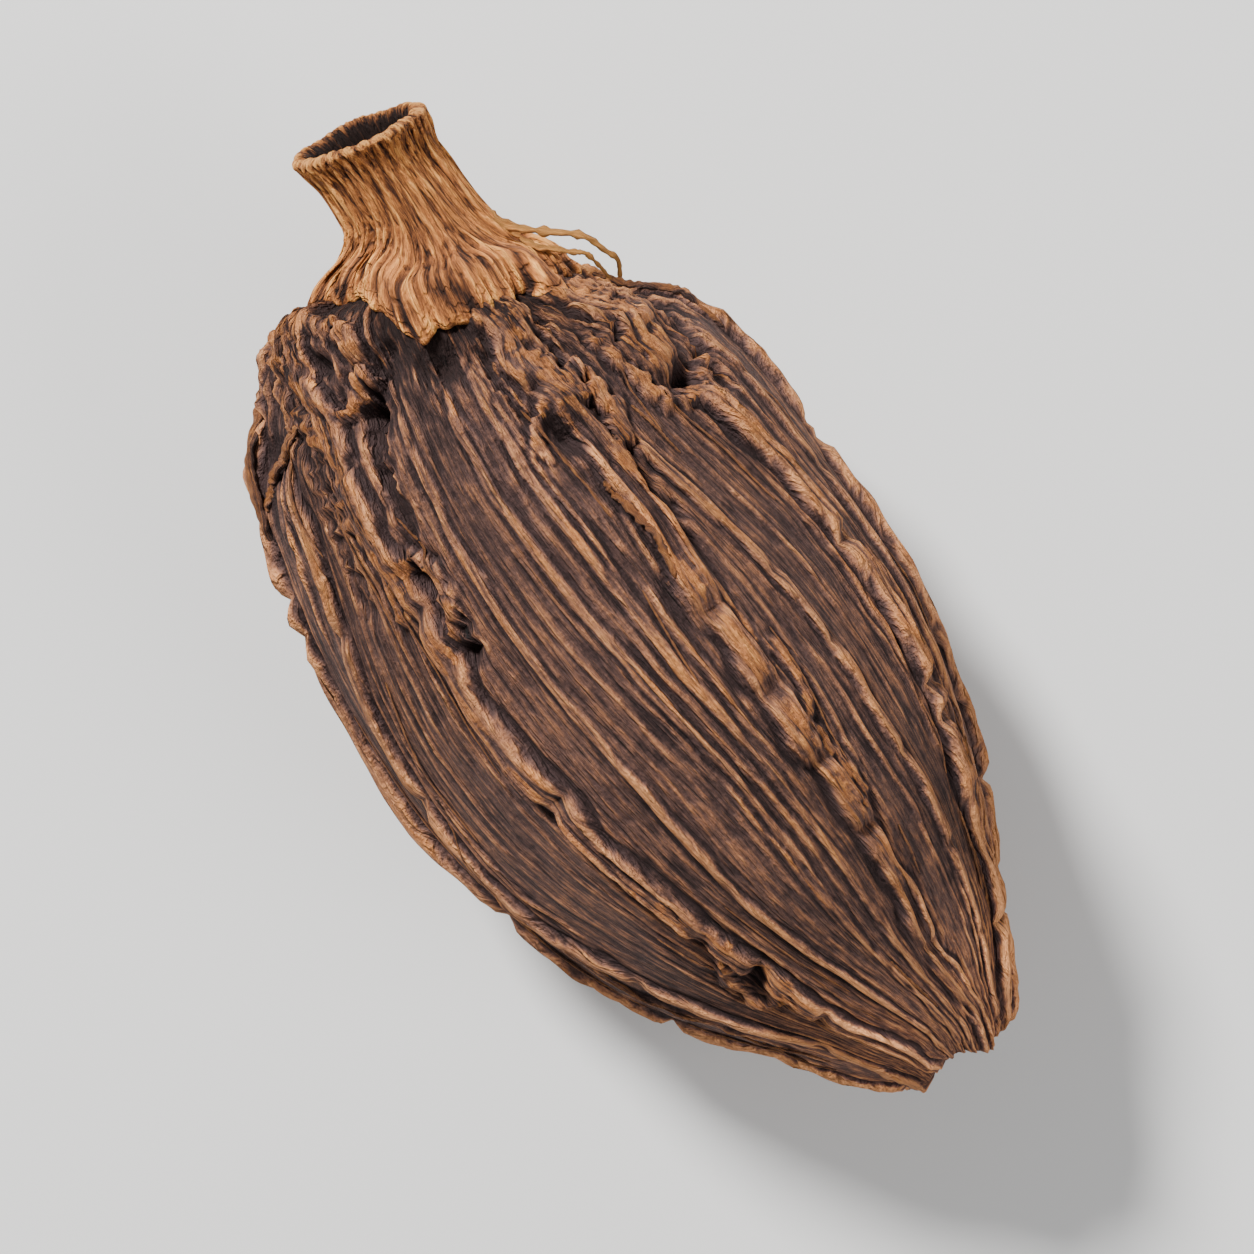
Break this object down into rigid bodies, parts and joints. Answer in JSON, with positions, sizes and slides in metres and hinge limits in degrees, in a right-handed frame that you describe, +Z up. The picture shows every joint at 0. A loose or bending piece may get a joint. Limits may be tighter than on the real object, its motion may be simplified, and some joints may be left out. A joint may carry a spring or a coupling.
{
  "type": "black cardamom pod",
  "caption": "Dried black cardamom pod lying on its side: a ribbed, wrinkled dark brown husk with a blunt ragged tip and a paler hollow stub of stalk flaring over its shoulder.",
  "frame": {"origin": "middle of the small flat spot that the husk rests on", "axes": "+Z up, +X along the pod from its stalk to its tip, +Y across it, towards the straighter side of the shoulder"},
  "size_m": [0.0385, 0.0198, 0.0158],
  "materials": {
    "husk": "dry, fibrous and matt, dark brown with copper-tan ribs",
    "stalk": "dry, fibrous and matt, tan brown with a pale rim"
  },
  "bodies": {
    "root": {"husk": "husk", "stalk": "stalk"}
  },
  "joints": []
}
